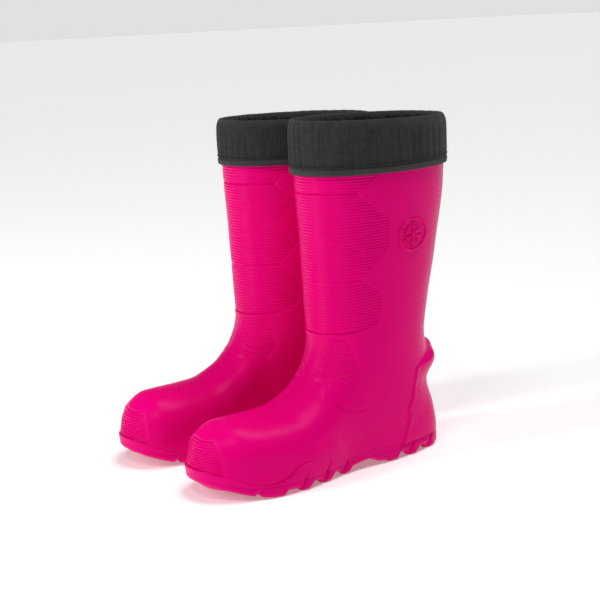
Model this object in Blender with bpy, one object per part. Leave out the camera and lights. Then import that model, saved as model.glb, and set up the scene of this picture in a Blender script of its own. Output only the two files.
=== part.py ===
"""A pair of moulded winter wellingtons, each with a removable knit-cuffed liner.

The pair stands on Z = 0 with its toes towards -Y. The wearer's left boot is at +X.
Each boot is drawn in its own frame, in millimetres: x towards the outer side of the
foot, y from the toe to the heel, z up. Its stand, an empty, holds it in the pair's frame.
"""
import math

import bpy
import numpy as np

MM = 0.001

# The pair
STANCE = 137.4              # between the two boots' own origins
LEAD = 2.4                  # the right boot stands this much ahead
SPLAY = math.radians(3.4)   # each toe points outwards by this much
SIDES = (("left", 1), ("right", -1))

# The last: half widths, centre line and top line along the foot, then the leg by height
TOE, HEEL = -145.0, 143.0
OUTER_HALF = [(-145, 0), (-141, 17), (-132, 30), (-115, 42), (-90, 50), (-55, 53.5), (-20, 50),
              (20, 43.5), (60, 39), (95, 38), (120, 32), (136, 20), (143, 0)]
INNER_HALF = [(-145, 0), (-141, 20), (-132, 33), (-115, 43), (-85, 47.5), (-55, 46.5), (-20, 41),
              (20, 35), (60, 34), (95, 35), (120, 30), (136, 19), (143, 0)]
CENTRE_LINE = [(-145, -6), (-60, -2), (20, 0), (143, 0)]
TOP_LINE = [(-145, 39), (-139, 53), (-127, 65), (-108, 71.5), (-80, 71.5), (-50, 72.5), (-20, 85),
            (10, 103), (60, 118), (143, 108)]
LEG_CENTRE = [(0, 78), (60, 75.5), (118, 72.5), (160, 75.5), (200, 79.5), (300, 86), (345, 86)]
LEG_HALF_LENGTH = [(0, 69), (80, 68), (118, 66.8), (160, 71.5), (220, 79.3), (300, 87.2), (345, 88)]
LEG_HALF_WIDTH = [(0, 40), (80, 47), (120, 50), (160, 51), (220, 54.3), (300, 58.2), (345, 58.6)]
FOOT_POWER = 2.25           # roundness of a section through the foot
LEG_POWER = 2.1
BLEND = 30.0                # how softly the leg runs into the foot
LOW_CENTRE = 8.0            # where the foot's widest line starts above the ground
WIDEST = 0.36               # and how far up the section it lies
UNDER_DEPTH = 55.0
FOOT_STIFFNESS = 42.0
END_STIFFNESS = 80.0

# Toe spring: the toe's underside lifts off the ground
SPRING = 14.0
SPRING_START = -85.0
SPRING_DEPTH = 60.0         # the lift fades out by this height

# The spine that rows are measured along, and each row's tilt (degrees, front up)
SPINE_Y = [(0, 0), (50, 0), (75, 25), (100, 50), (140, 62), (345, 70)]
ROW_TILT = [(0, 0), (36, 0), (50, 3), (66, 8), (84, 13), (110, 16), (140, 14), (180, 8), (240, 0), (345, 0)]
COLUMNS = 32
REACH = 260.0
HALVINGS = 34
STEP = 0.5                  # spacing used to find the surface's normal

# Shell
WALL = 4.5
SHELL_BOTTOM = 12.0
SHELL_FLOOR = 18.0
SHELL_LOW_ROW = 20.0
RIM = 322.0
FLOOR_EDGE = 24.0           # where the inner wall turns into the floor
TREAD_ROW = 12.0            # the row whose outline the sole follows
FOOT_ROWS = [32, 42, 50, 57, 63, 69, 76, 84, 94, 106, 120, 136, 154]
LEG_ROWS = [182, 212, 242, 272, 300]

# Sole
GAP = 0.4                   # between pieces that touch
RAND_GAP = 0.8
SOLE_FLARE = [(-150, 1.2), (-125, 1.6), (-85, 4.0), (150, 4.4)]
RAND_FLARE = 2.4
RAND_BEAD = 0.6             # the rand thickens just under its top
RAND_INNER_PARTS = (0.7, 0.4, 0.15)
TREAD_EDGE = [(2.0, 0.0), (0.8, 2.0), (0.0, 7.0)]   # rounding of the sole's edge: inset, height
SEAT = 10.4                 # top of the outsole's floor
RAND_TOP = [(-150, 21), (-132, 21), (-112, 16), (-90, 13), (-72, 17), (-56, 27), (-35, 29.5), (-14, 31),
            (8, 17), (36, 18), (71, 16), (150, 16)]
GROOVES = [-104, -75, -38, -7, 78, 100]
GROOVE_WIDTH = 6.0
GROOVE_DEPTH = 6.0
WAIST = (14.0, 54.0, 8.5)   # front, back and height of the arch under the waist
FLOOR_PARTS = (0.82, 0.62, 0.3)
SLAB_INSET = 6.5
INSOLE = (19.2, 21.6)
LINER_SOLE = (22.6, 25.8)

# Heel counter and kick-off spur: by row up the heel, its half angle and its thickness
COUNTER_ROWS = [18, 34, 50, 66, 82, 92, 98, 104, 110, 116, 122, 127, 131, 134]
COUNTER_GAP = 1.0           # the plate is flatter between its points than the shell is
COUNTER_HALF_ANGLE = [(18, 0.94), (60, 0.93), (92, 0.97), (110, 0.80), (124, 0.55), (134, 0.34)]
COUNTER_OUT = [(18, 3.0), (60, 2.8), (90, 3.4), (96, 4.6), (104, 8.2), (114, 12), (125, 12), (131, 8.5), (134, 4)]
COUNTER_EDGE_OUT = 2.6

# Liner
LINER_OUT = 7.0             # inside the shell's outer surface
LINER_THICK = 3.2
FLEECE_OUT = 10.6
FLEECE_THICK = 2.0
LINER_LOW_ROW = 28.0
LINER_SEAM = 170.0
SEAM_GAP = 1.0
TOP_INSET = 1.5
LINER_TOP = 322.5

# Knit cuff, folded out over the rim: distances out from the leg's surface, and heights
CUFF_PROFILE = [(3.5, 307.0), (3.8, 324), (3.7, 338), (2.4, 346), (-1.2, 349.6), (-5.4, 347.5),
                (-8.6, 340), (-8.8, 324.6), (-3.4, 323.6), (0.7, 323.6), (0.7, 307.0)]
HEM_PROFILE = [(3.6, 300.4), (3.9, 303.5), (3.6, 306.6), (0.7, 306.6), (0.7, 300.4)]
STITCH_HEIGHT = 309.6
STITCH_OUT = 4.1
STITCH_RADIUS = 0.4

# Round emblem on the outer side of the leg
EMBLEM_ROW = 234.0
EMBLEM_ANGLE = 1.98
EMBLEM_RADIUS = 17.0
EMBLEM_BAND = 2.2
EMBLEM_HEIGHT = 1.3
LEG_RADIUS_AT_EMBLEM = 56.0


def smooth(points, x):
    """A curve through the points that never overshoots them."""
    p = np.array(points, float)
    xs, ys = p[:, 0], p[:, 1]
    h = np.diff(xs)
    slope = np.diff(ys) / h
    m = np.zeros_like(ys)
    for i in range(1, len(xs) - 1):
        if slope[i - 1] * slope[i] > 0:
            w1 = 2 * h[i] + h[i - 1]
            w2 = h[i] + 2 * h[i - 1]
            m[i] = (w1 + w2) / (w1 / slope[i - 1] + w2 / slope[i])
    m[0], m[-1] = slope[0], slope[-1]
    x = np.clip(x, xs[0], xs[-1])
    i = np.clip(np.searchsorted(xs, x, side="right") - 1, 0, len(h) - 1)
    t = (x - xs[i]) / h[i]
    return ((1 + 2 * t) * (1 - t) ** 2 * ys[i] + t * (1 - t) ** 2 * h[i] * m[i]
            + t * t * (3 - 2 * t) * ys[i + 1] + t * t * (t - 1) * h[i] * m[i + 1])


def half_width(points, y):
    """A half width that closes round at both ends."""
    squared = [(a, w * w) for a, w in points]
    return np.sqrt(np.maximum(smooth(squared, y), 0.25))


def foot_field(x, y, z):
    """Negative inside the foot."""
    centre = smooth(CENTRE_LINE, y)
    top = smooth(TOP_LINE, y)
    mid = LOW_CENTRE + WIDEST * (top - LOW_CENTRE)
    across = np.where(x > centre, (x - centre) / half_width(OUTER_HALF, y),
                      (centre - x) / half_width(INNER_HALF, y))
    up = np.where(z > mid, (z - mid) / (top - mid), (mid - z) / UNDER_DEPTH)
    section = (np.abs(across) ** FOOT_POWER + np.abs(up) ** FOOT_POWER) ** (1 / FOOT_POWER) - 1
    past_end = np.maximum(np.maximum(TOE - y, y - HEEL), 0)
    return section * FOOT_STIFFNESS + past_end * END_STIFFNESS


def leg_field(x, y, z):
    """Negative inside the leg."""
    a, b = smooth(LEG_HALF_LENGTH, z), smooth(LEG_HALF_WIDTH, z)
    along = np.abs((y - smooth(LEG_CENTRE, z)) / a)
    section = (np.abs(x / b) ** LEG_POWER + along ** LEG_POWER) ** (1 / LEG_POWER) - 1
    return section * b


def boot_field(x, y, z):
    foot, leg = foot_field(x, y, z), leg_field(x, y, z)
    h = np.clip(0.5 + 0.5 * (foot - leg) / BLEND, 0, 1)
    return foot * (1 - h) + leg * h - BLEND * h * (1 - h)


def cast(s, t):
    """The outer surface seen from the spine at height s, in direction t (0 front, pi heel)."""
    s, t = np.broadcast_arrays(np.asarray(s, float), np.asarray(t, float))
    tilt = np.radians(smooth(ROW_TILT, s))
    spine_y = smooth(SPINE_Y, s)
    narrow = 0.45 + 0.45 * np.clip((s - 60) / 80, 0, 1)
    dx, ahead = np.sin(t) * narrow, np.cos(t)
    length = np.hypot(dx, ahead)
    dx, ahead = dx / length, ahead / length
    dy, dz = -ahead * np.cos(tilt), ahead * np.sin(tilt)
    near, far = np.zeros(s.shape), np.full(s.shape, REACH)
    for _ in range(HALVINGS):
        r = (near + far) / 2
        inside = boot_field(r * dx, spine_y + r * dy, s + r * dz) < 0
        near, far = np.where(inside, r, near), np.where(inside, far, r)
    return np.stack([near * dx, spine_y + near * dy, s + near * dz], -1)


def surface(s, t, out=0.0):
    """Points a distance out from the outer surface, along its normal."""
    s, t = np.asarray(s, float), np.asarray(t, float)
    across = cast(s, t + STEP / 50) - cast(s, t - STEP / 50)
    up = cast(s + STEP, t) - cast(s - STEP, t)
    normal = np.cross(across, up)
    normal /= np.linalg.norm(normal, axis=-1, keepdims=True)
    return cast(s, t) + normal * np.asarray(out, float)[..., None]


def columns():
    return np.linspace(0, 2 * math.pi, COLUMNS, endpoint=False)


def rows(heights, out=0.0):
    """Closed rings of the surface, one for each height."""
    return surface(np.array(heights, float)[:, None], columns()[None, :], out)


def flat_ring(s, out, z):
    """The ring at height s, moved level to height z."""
    ring = rows([s], out)[0]
    ring[:, 2] = z
    return ring


def ring_faces(count, width, loop=False):
    """Quads between rings that go up an outer side and down an inner one."""
    faces = []
    for i in range(count if loop else count - 1):
        low, high = i * width, ((i + 1) % count) * width
        for j in range(width):
            k = (j + 1) % width
            faces.append((low + j, low + k, high + k, high + j))
    return faces


def capped(rings):
    """A body whose first ring is closed below and whose last is closed above."""
    rings = np.array(rings)
    count, width = rings.shape[:2]
    faces = ring_faces(count, width)
    first, last = rings[0].mean(0), rings[-1].mean(0)
    points = np.concatenate([rings.reshape(-1, 3), [first, last]])
    bottom, top = count * width, count * width + 1
    for j in range(width):
        k = (j + 1) % width
        faces.append((bottom, k, j))
        faces.append((top, (count - 1) * width + j, (count - 1) * width + k))
    return points, faces


def shrunk(ring):
    """Rings inside a level one, from the outside in, so that a floor can follow the toe spring."""
    middle = ring.mean(0)
    return [middle + (ring - middle) * part for part in FLOOR_PARTS]


def floored(rings):
    """A capped body whose bottom and top floors have rings of their own."""
    return capped([*reversed(shrunk(rings[0])), *rings, *shrunk(rings[-1])])


def looped(rings):
    """A ring-shaped body: the last ring joins the first."""
    rings = np.array(rings)
    return rings.reshape(-1, 3), ring_faces(rings.shape[0], rings.shape[1], loop=True)


def patch(s, t, low, high):
    """A closed plate on the surface between two distances out."""
    outer, inner = surface(s, t, high), surface(s, t, low)
    count, width = outer.shape[:2]
    points = np.concatenate([outer.reshape(-1, 3), inner.reshape(-1, 3)])
    shift = count * width
    faces = []
    for i in range(count - 1):
        for j in range(width - 1):
            a, b = i * width + j, (i + 1) * width + j
            faces.append((a, a + 1, b + 1, b))
            faces.append((shift + b, shift + b + 1, shift + a + 1, shift + a))
    edge = list(range(width))
    edge += [i * width + width - 1 for i in range(1, count)]
    edge += [(count - 1) * width + j for j in range(width - 2, -1, -1)]
    edge += [i * width for i in range(count - 2, 0, -1)]
    for a, b in zip(edge, edge[1:] + edge[:1]):
        faces.append((b, a, shift + a, shift + b))
    return points, faces


def spring(points):
    """Bends the toe up, most at the ground."""
    ahead = np.clip((SPRING_START - points[:, 1]) / (SPRING_START - TOE), 0, None)
    points[:, 2] += SPRING * ahead ** 2 * np.clip(1 - points[:, 2] / SPRING_DEPTH, 0, 1)
    return points


def material(name, colour, roughness, metallic=0.0):
    mat = bpy.data.materials.new(name)
    mat.use_nodes = True
    shader = mat.node_tree.nodes["Principled BSDF"]
    shader.inputs["Base Color"].default_value = (*colour, 1)
    shader.inputs["Roughness"].default_value = roughness
    shader.inputs["Metallic"].default_value = metallic
    return mat


def place(name, body, mat, side, parent):
    """One sub-part: the body in its boot's frame, mirrored for the right boot."""
    points, faces = body
    points = spring(np.array(points, float)) * MM
    points[:, 0] *= side
    if side < 0:
        faces = [tuple(reversed(face)) for face in faces]
    mesh = bpy.data.meshes.new(name)
    mesh.from_pydata(points.tolist(), [], faces)
    mesh.materials.append(mat)
    mesh.shade_smooth()
    obj = bpy.data.objects.new(name, mesh)
    obj.parent = parent
    bpy.context.scene.collection.objects.link(obj)
    return obj


def upper():
    """The moulded foot and leg, open at the top."""
    outer = [*rows([SHELL_BOTTOM, SHELL_LOW_ROW, *FOOT_ROWS, *LEG_ROWS, RIM - 1])]
    rim = [flat_ring(RIM, -WALL / 2, RIM)]
    inner = [*rows([RIM - 1, *reversed(FOOT_ROWS + LEG_ROWS)], -WALL)]
    floor = [flat_ring(FLOOR_EDGE, -WALL, FLOOR_EDGE), flat_ring(SHELL_FLOOR, -WALL - 1, SHELL_FLOOR)]
    return floored(outer + rim + inner + floor)


def outsole():
    """A tray whose wall, the rand, stands round the upper."""
    t = columns()
    along = cast(SHELL_LOW_ROW, t)[:, 1]
    rand = smooth(RAND_TOP, along)
    flare = smooth(SOLE_FLARE, along)
    rings = [flat_ring(TREAD_ROW, flare - inset, z) for inset, z in TREAD_EDGE]
    rings += [surface(SEAT, t, flare), surface(rand - 1, t, np.minimum(flare, RAND_FLARE) + RAND_BEAD),
              surface(rand, t, np.minimum(flare, RAND_FLARE)), surface(rand, t, RAND_GAP)]
    rings += [surface(SEAT + part * (rand - SEAT), t, RAND_GAP) for part in RAND_INNER_PARTS]
    rings.append(flat_ring(TREAD_ROW, RAND_GAP, SEAT))
    return floored(rings)


def tread_cutters(parent, name):
    """Cross grooves and the arch under the waist."""
    reach = 90.0
    boxes = [(y - GROOVE_WIDTH / 2, y + GROOVE_WIDTH / 2, GROOVE_DEPTH) for y in GROOVES]
    boxes.append(WAIST)
    points, faces = [], []
    for front, back, height in boxes:
        start = len(points)
        for z in (-5.0, height):
            points += [(-reach, front, z), (reach, front, z), (reach, back, z), (-reach, back, z)]
        quads = [(3, 2, 1, 0), (4, 5, 6, 7), (0, 1, 5, 4), (1, 2, 6, 5), (2, 3, 7, 6), (3, 0, 4, 7)]
        faces += [tuple(start + k for k in quad) for quad in quads]
    mesh = bpy.data.meshes.new(name)
    mesh.from_pydata((np.array(points) * MM).tolist(), [], faces)
    cutter = bpy.data.objects.new(name, mesh)
    cutter.parent = parent
    cutter.hide_render = True
    cutter.display_type = "WIRE"
    bpy.context.scene.collection.objects.link(cutter)
    return cutter


def heel_counter():
    """The raised heel panel, with the ledge used to kick the boot off."""
    s = np.array(COUNTER_ROWS, float)[:, None]
    u = np.linspace(-1, 1, 15)[None, :]
    t = math.pi + u * smooth(COUNTER_HALF_ANGLE, s)
    centre_out = smooth(COUNTER_OUT, s)
    high = COUNTER_EDGE_OUT + (centre_out - COUNTER_EDGE_OUT) * np.cos(u * math.pi / 2)
    s = s + 0 * u
    return patch(s, t, np.full(s.shape, COUNTER_GAP), high)


def slab(heights, inset):
    low, high = heights
    return floored([flat_ring(low, -inset, low), flat_ring(low, -inset, high)])


def sock(heights, out, thick, inner_heights):
    """A soft wall that follows the inside of the shell."""
    return looped([*rows(heights, -out), *rows(list(reversed(inner_heights)), -out - thick)])


def band(profile):
    """A ring round the leg, from its profile of (distance out, height) points."""
    return looped([flat_ring(z, out, z) for out, z in profile])


def stitch_profile(sides=5):
    turns = [2 * math.pi * k / sides for k in range(sides)]
    return [(STITCH_OUT + STITCH_RADIUS * math.cos(a), STITCH_HEIGHT + STITCH_RADIUS * math.sin(a))
            for a in turns]


def emblem():
    """A plain raised ring on the surface."""
    turn = np.linspace(0, 2 * math.pi, 24, endpoint=False)
    outline = [(EMBLEM_RADIUS, GAP), (EMBLEM_RADIUS, EMBLEM_HEIGHT),
               (EMBLEM_RADIUS - EMBLEM_BAND, EMBLEM_HEIGHT), (EMBLEM_RADIUS - EMBLEM_BAND, GAP)]
    rings = []
    for radius, out in outline:
        s = EMBLEM_ROW + radius * np.sin(turn)
        t = EMBLEM_ANGLE + radius * np.cos(turn) / LEG_RADIUS_AT_EMBLEM
        rings.append(surface(s, t, out))
    return looped(rings)


def build():
    for obj in list(bpy.data.objects):
        bpy.data.objects.remove(obj, do_unlink=True)
    pink = material("moulded_foam", (0.79, 0.008, 0.21), 0.42)
    sole_pink = material("sole_foam", (0.66, 0.004, 0.15), 0.5)
    knit = material("rib_knit", (0.03, 0.03, 0.032), 0.95)
    felt = material("felt", (0.05, 0.05, 0.052), 0.98)
    fleece = material("fleece", (0.028, 0.028, 0.03), 1.0)
    thread = material("thread", (0.02, 0.02, 0.02), 0.9)
    foot_rows = [LINER_LOW_ROW, *FOOT_ROWS, LINER_SEAM - SEAM_GAP]
    foot_few = [LINER_LOW_ROW, *FOOT_ROWS[::2], LINER_SEAM - SEAM_GAP]
    leg_rows = [LINER_SEAM, *LEG_ROWS, LINER_TOP - TOP_INSET]
    leg_few = [LINER_SEAM, LEG_ROWS[1], LEG_ROWS[-1], LINER_TOP - TOP_INSET]
    bodies = {
        "upper": (upper(), pink),
        "outsole": (outsole(), sole_pink),
        "heel_counter": (heel_counter(), pink),
        "emblem": (emblem(), pink),
        "insole": (slab(INSOLE, SLAB_INSET), felt),
        "liner_sole": (slab(LINER_SOLE, SLAB_INSET), felt),
        "liner_foot": (sock(foot_rows, LINER_OUT, LINER_THICK, foot_few), felt),
        "liner_leg": (sock(leg_rows, LINER_OUT, LINER_THICK, leg_rows), felt),
        "liner_fleece": (sock(leg_rows, FLEECE_OUT, FLEECE_THICK, leg_few), fleece),
        "cuff": (band(CUFF_PROFILE), knit),
        "cuff_hem": (band(HEM_PROFILE), knit),
        "hem_stitching": (band(stitch_profile()), thread),
    }
    points = np.concatenate([body[0] for body, mat in bodies.values()])
    along = points[:, 1] * math.cos(SPLAY) + points[:, 0] * math.sin(SPLAY)
    shift = -(along.min() + along.max()) / 2
    for side_name, side in SIDES:
        stand = bpy.data.objects.new(side_name + "_boot", None)
        stand.location = (side * STANCE / 2 * MM, (shift + side * LEAD / 2) * MM, 0)
        stand.rotation_euler = (0, 0, side * SPLAY)
        bpy.context.scene.collection.objects.link(stand)
        for name, (body, mat) in bodies.items():
            obj = place(side_name + "_" + name, body, mat, side, stand)
            if name == "outsole":
                cut = obj.modifiers.new("tread", "BOOLEAN")
                cut.operation = "DIFFERENCE"
                cut.object = tread_cutters(stand, side_name + "_tread_cutter")


build()
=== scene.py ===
"""The look of a pair of pink moulded winter wellingtons with folded rib-knit cuffs.

Every piece is drawn in its own boot's frame, in millimetres: x towards the outer side of the
foot, y from the toe to the heel, z up. add() then stands it in the pair's frame.
"""

import math

import bpy
import numpy as np
from mathutils import Matrix, Vector


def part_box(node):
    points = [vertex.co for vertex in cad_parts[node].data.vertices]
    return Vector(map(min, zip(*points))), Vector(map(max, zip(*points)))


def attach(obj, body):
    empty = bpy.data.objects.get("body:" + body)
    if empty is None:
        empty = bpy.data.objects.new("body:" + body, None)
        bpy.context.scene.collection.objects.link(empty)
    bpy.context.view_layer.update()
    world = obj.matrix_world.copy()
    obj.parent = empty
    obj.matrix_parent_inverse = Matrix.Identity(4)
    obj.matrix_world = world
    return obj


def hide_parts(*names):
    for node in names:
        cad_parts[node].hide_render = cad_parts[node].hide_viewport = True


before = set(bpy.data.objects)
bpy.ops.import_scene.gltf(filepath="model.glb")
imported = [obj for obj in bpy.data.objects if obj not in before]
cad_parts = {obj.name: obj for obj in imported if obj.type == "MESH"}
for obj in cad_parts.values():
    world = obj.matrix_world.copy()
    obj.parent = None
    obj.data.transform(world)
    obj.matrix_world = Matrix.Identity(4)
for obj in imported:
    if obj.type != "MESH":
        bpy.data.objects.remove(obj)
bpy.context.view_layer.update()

MM = 0.001
SPLAY = math.radians(3.4)   # each toe points outwards by this much
SIDES = (("left", 1), ("right", -1))
RNG = np.random.default_rng(7)

# The last, as in the CAD
TOE, HEEL = -145.0, 143.0
OUTER_HALF = [(-145, 0), (-141, 17), (-132, 30), (-115, 42), (-90, 50), (-55, 53.5), (-20, 50),
              (20, 43.5), (60, 39), (95, 38), (120, 32), (136, 20), (143, 0)]
INNER_HALF = [(-145, 0), (-141, 20), (-132, 33), (-115, 43), (-85, 47.5), (-55, 46.5), (-20, 41),
              (20, 35), (60, 34), (95, 35), (120, 30), (136, 19), (143, 0)]
CENTRE_LINE = [(-145, -6), (-60, -2), (20, 0), (143, 0)]
TOP_LINE = [(-145, 39), (-139, 53), (-127, 65), (-108, 71.5), (-80, 71.5), (-50, 72.5), (-20, 85),
            (10, 103), (60, 118), (143, 108)]
LEG_CENTRE = [(0, 78), (60, 75.5), (118, 72.5), (160, 75.5), (200, 79.5), (300, 86), (345, 86)]
LEG_HALF_LENGTH = [(0, 69), (80, 68), (118, 66.8), (160, 71.5), (220, 79.3), (300, 87.2), (345, 88)]
LEG_HALF_WIDTH = [(0, 40), (80, 47), (120, 50), (160, 51), (220, 54.3), (300, 58.2), (345, 58.6)]
FOOT_POWER = 2.25
LEG_POWER = 2.1
BLEND = 30.0
LOW_CENTRE = 8.0
WIDEST = 0.36
UNDER_DEPTH = 55.0
FOOT_STIFFNESS = 42.0
END_STIFFNESS = 80.0
SPRING = 14.0
SPRING_START = -85.0
SPRING_DEPTH = 60.0
SPINE_Y = [(0, 0), (50, 0), (75, 25), (100, 50), (140, 62), (345, 70)]
ROW_TILT = [(0, 0), (36, 0), (50, 3), (66, 8), (84, 13), (110, 16), (140, 14), (180, 8), (240, 0),
            (345, 0)]
REACH = 260.0
HALVINGS = 22
CUFF_CENTRE_Y = 86.0        # the leg's centre at the hem

# Shell
WALL = 4.5
RIM = 322.0
RIM_ROUND = 1.5             # the outer wall ends this far under the rim
SHELL_BOTTOM = 11.0
SHELL_FLOOR = 18.0
JOIN = 128.0                # the row where the leg's mesh meets the foot's
FINE = 0.55                 # between the rows of the ribbed zones
SHELL_COLUMNS = 256
LEG_INNER_ROWS = [312, 296, 272, 248, 224, 200, 176, 152, JOIN]
FOOT_INNER_ROWS = [JOIN, 118, 106, 94, 84, 76, 69, 62, 54, 46, 36, 26, 20]

# Ribbed panels: how far back they reach, by height
PANEL_EDGE = [(139, 16), (141.5, 38), (146, 49.4), (173.8, 54), (193.2, 34.5), (194.5, 34.5),
              (224, 63), (252, 63), (280, 31.5), (282, 31.5), (300, 52.5), (306, 59)]
PANEL_GROOVES = [281.0, 193.0, 140.4]
RIB_PITCH = 3.0
RIB_DEPTH = 0.78
RIB_FLOOR = 0.22            # how far each ribbed panel lies below the plain surface
RIB_SHARPNESS = 1.4
GROOVE_DEPTH, GROOVE_WIDTH = 0.95, 1.25
ANKLE_EDGE = [(90, 14), (94, 17), (109.5, 27.4), (133, 20.6)]
ANKLE_RIBS = (94.0, 134.0)
ANKLE_PITCH = 2.85
ANKLE_DEPTH, ANKLE_FLOOR = 0.85, 0.3
TOE_PITCH = 2.5
TOE_DEPTH, TOE_FLOOR = 1.0, 0.9
TOE_PANEL_Y = -131.6
TOE_RIBS = (25.0, 59.5)     # the lowest and highest, on the sprung toe
VAMP_LINE = [(-16, -9, 93), (7, -10, 95), (20, -8, 93), (26, -6, 91), (32, -6.5, 85), (36, -7, 79),
             (43, -0.5, 70), (45.6, 15, 62.6), (47, 32, 63), (49, 57, 68), (50, 72, 72)]
VAMP_DEPTH, VAMP_WIDTH = 0.95, 0.85

# Sole
SOLE_FLARE = [(-150, 1.2), (-125, 1.6), (-85, 4.0), (100, 4.4), (128, 7.0), (150, 9.0)]
RAND_FLARE = [(-150, 1.2), (-125, 1.6), (-95, 2.4), (100, 2.4), (128, 5.0), (150, 7.0)]
LEDGE = [(-150, 0.4), (-100, 0.4), (-90, 1.3), (-56, 1.4), (-46, 0.35), (-10, 0.3), (150, 0.2)]
BEAD = [(-150, 0.35), (-100, 0.35), (-88, 0.9), (-56, 0.9), (-46, 0.25), (150, 0.15)]
RAND_TOP = [(-150, 21), (-132, 21), (-112, 16), (-90, 13), (-72, 17), (-56, 27), (-35, 29.5), (-14, 31),
            (8, 17), (36, 18), (71, 16), (150, 16)]
SOLE_COLUMNS = 720
GROUND_EDGE = [(-150, 4.5), (-140, 5.0), (-125, 4.2), (-107.5, 2.2), (-104.5, 6.5), (-101.5, 1.6), (-86, 0.2),
               (-78, 0.0), (-73.5, 4.6), (-62, 4.0), (-59, 0.0), (-49, 0.8), (-42.5, 6.2), (-33.5, 5.2),
               (-31, 0.0), (-19, 1.0), (-13, 6.6), (-5, 5.8), (-2, 0.2), (8, 1.4), (13, 6.2), (34, 9.0),
               (46, 3.6), (56, 2.0), (60, 0.0), (71, 0.2), (75.5, 6.6), (84, 5.6), (86.5, 0.0), (98, 0.3),
               (103.5, 6.6), (112, 5.4), (115, 0.0), (150, 0.6)]
SLOTS = [(-104.5, 12.0), (-60.0, 22.0), (-31.0, 24.0), (-2.5, 21.0), (86.0, 21.0), (114.5, 21.0)]
SLOT_LEAN = 0.42
SLOT_DEPTH = 3.4
TREAD_GAPS = [(-75, 5.5), (-38, 5), (-8, 5), (80, 5), (103, 5), (-104.5, 2.4)]  # middle and half width
GAP_DEPTH, SPLIT_DEPTH, WAIST_HEIGHT = 5.2, 4.5, 8.6
SEAT = 10.4

# Heel counter
COUNTER_HALF_ANGLE = [(15, .942), (36.6, .908), (50, .902), (60, .95), (66, .95), (72, .942), (92, .975),
                      (104, .95), (114, .86), (124, .62), (134, .34)]
COUNTER_OUT = [(15, 1.9), (52, 1.9), (70, 1.6), (84, 0.9), (94, 1.4), (102, 4.6), (108, 9.0),
               (115, 12.5), (126, 12.5), (131, 8.5), (134, 3)]
COUNTER_ROWS = (15, 134)
COUNTER_EDGE_OUT = 1.5
HEEL_PINCH = 3.2            # how far the heel draws in above the sole

# Liner and cuff
LINER_OUT = 7.0
LINER_THICK = 3.2
FLEECE_OUT = 10.6
FLEECE_THICK = 2.0
LINER_SEAM = 170.0
LINER_TOP = 320.0
SLAB_INSET = 6.5
INSOLE = (19.2, 21.6)
LINER_SOLE = (22.6, 25.8)
CUFF_PROFILE = [(3.1, 307.0), (3.5, 315), (3.5, 324), (3.3, 334), (2.7, 341), (1.0, 346), (-1.4, 348.6),
                (-4.0, 347.8), (-6.4, 344.6), (-8.0, 339), (-8.5, 332), (-8.6, 324.6), (-7.4, 323.8),
                (-3.4, 323.6), (0.4, 323.6), (0.8, 321.5), (0.8, 307.4)]
HEM_PROFILE = [(0.9, 300.7), (2.3, 300.2), (3.3, 301.0), (3.8, 303.2), (3.7, 305.4), (3.0, 306.7),
               (1.6, 307.0), (0.9, 306.2)]
CUFF_COLUMNS = 1152
KNIT_RIBS = 188
KNIT_DEPTH = 0.85
KNIT_WANDER = [(3, 0.55, 0.3, 1), (7, 0.4, 1.9, -1.4), (13, 0.35, 4.0, 2), (29, 0.25, 2.2, -3)]
STITCHES = 150
STITCH_HEIGHT = 309.4
STITCH_OUT = 3.7
STITCH_RADIUS = 0.42
CURL_ROWS = (314, 345)
CURL_OUT = 9.3
CURL_COUNT = 2800
CURL_SIZE = (0.75, 1.35)
CURL_THREAD = 0.36
SLOUCHING = ("cuff", "cuff_hem", "hem_stitching", "pile")

# Emblem: a plain ring round a six-armed snowflake
EMBLEM_ROW = 234.0
EMBLEM_ANGLE = 1.98
EMBLEM_RADIUS = 17.0
LEG_RADIUS_AT_EMBLEM = 56.0
EMBLEM_RING = (1.15, 1.6)   # half width and height
EMBLEM_ARM = (0.9, 1.5)
ARM_LENGTH = 12.2
BRANCH = ((6.2, 0.0), (9.2, 3.6))
STRIP_SECTION = [(-1, -0.4), (-1, 0.25), (-0.55, 0.92), (-0.3, 1), (0.3, 1), (0.55, 0.92), (1, 0.25),
                 (1, -0.4)]

# The camera, in millimetres in the pair's frame
CAMERA_TURN = math.radians(55.28)
CAMERA_AWAY = 1317.7
CAMERA_HEIGHT = 458.45
AIM_HEIGHT = 165.0
CAMERA_ROLL = math.radians(-2.54)
LENS = 80.55
LENS_SHIFT = (-0.0157, 0.01415)

# The studio, in metres and watts
HORIZON = (0.05, 0.12)      # a low pale wall, which fades out between these slopes
WALL_GLOW, CEILING_GLOW, FLOOR_GLOW = 0.75, 0.03, 0.22
FLOOR_HALF, FLOOR_DROP = 30, 0.0005
LAMPS = [("key", (-0.45, -1.9, 1.1), (0.02, 0, 0.16), (0.35, 1.5), 21),
         ("fill", (0.9, -1.3, 2.5), (0, 0, 0.1), (0.7, 0.7), 16)]
OVERHEAD_STRENGTH = 2.2
OVERHEAD_SPREAD = math.radians(34)
OVERHEAD_TILT = (math.radians(-16), math.radians(6), 0)


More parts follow.
